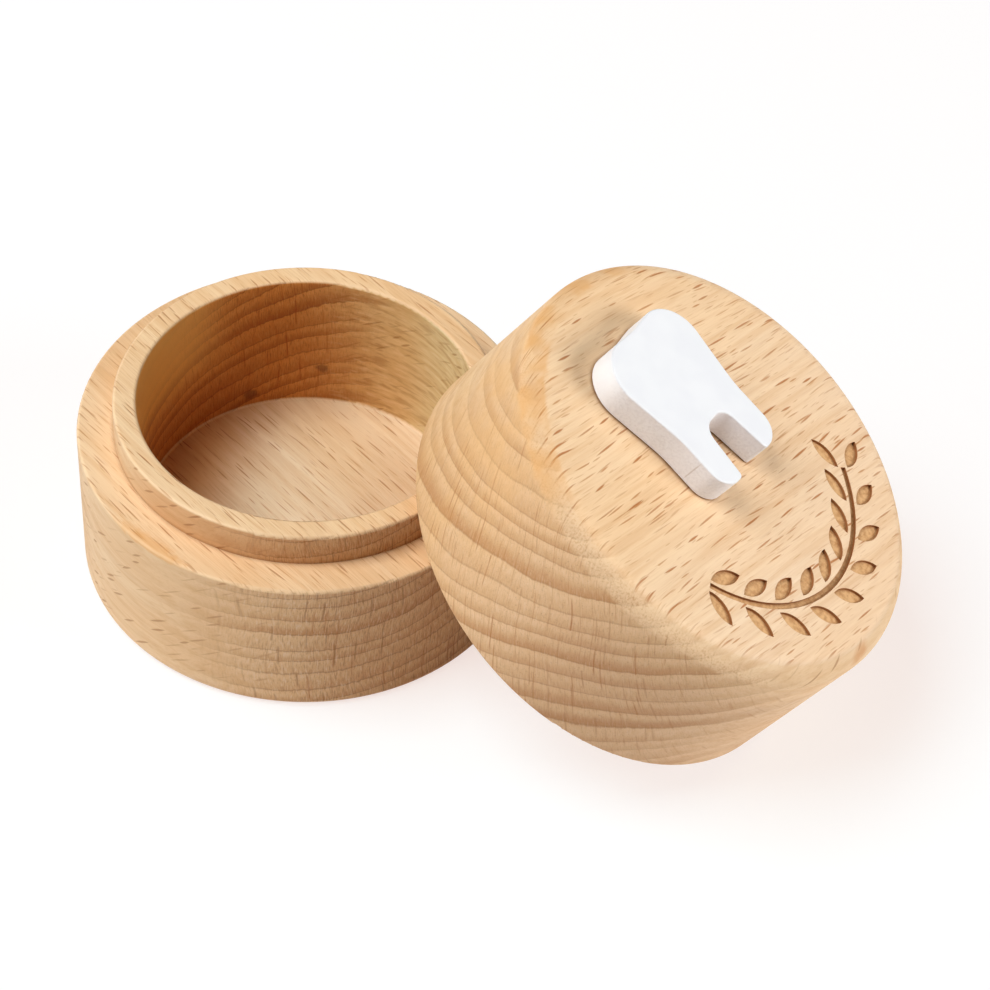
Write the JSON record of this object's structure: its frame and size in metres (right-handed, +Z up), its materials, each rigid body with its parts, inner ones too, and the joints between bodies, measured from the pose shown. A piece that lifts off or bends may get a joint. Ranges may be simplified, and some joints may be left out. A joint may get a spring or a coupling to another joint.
{
  "type": "keepsake tooth box",
  "caption": "Round turned wooden keepsake box for milk teeth: open base with a spigot, loose lid leaning beside it with a white tooth plaque and an engraved leaf sprig.",
  "frame": {"origin": "centre of the base's flat foot, on the surface that it stands on", "axes": "+Z up along the base's turning axis, +X the way the lid leans out from the base"},
  "size_m": [0.0917, 0.0547, 0.0433],
  "materials": {
    "beech_base": "sanded, unvarnished",
    "beech_lid": "sanded, unvarnished",
    "white_paint": "white painted board",
    "wood_glue": "dried wood glue"
  },
  "bodies": {
    "base": {"base_box": "beech_base"},
    "lid": {"lid": "beech_lid", "tooth_plaque": "white_paint", "glue_film": "wood_glue"}
  },
  "joints": [
    {"name": "lid_lift", "type": "slide", "parent": "base", "child": "lid", "axis": [0, 0, 1], "range_m": [0, 0.05]}
  ]
}
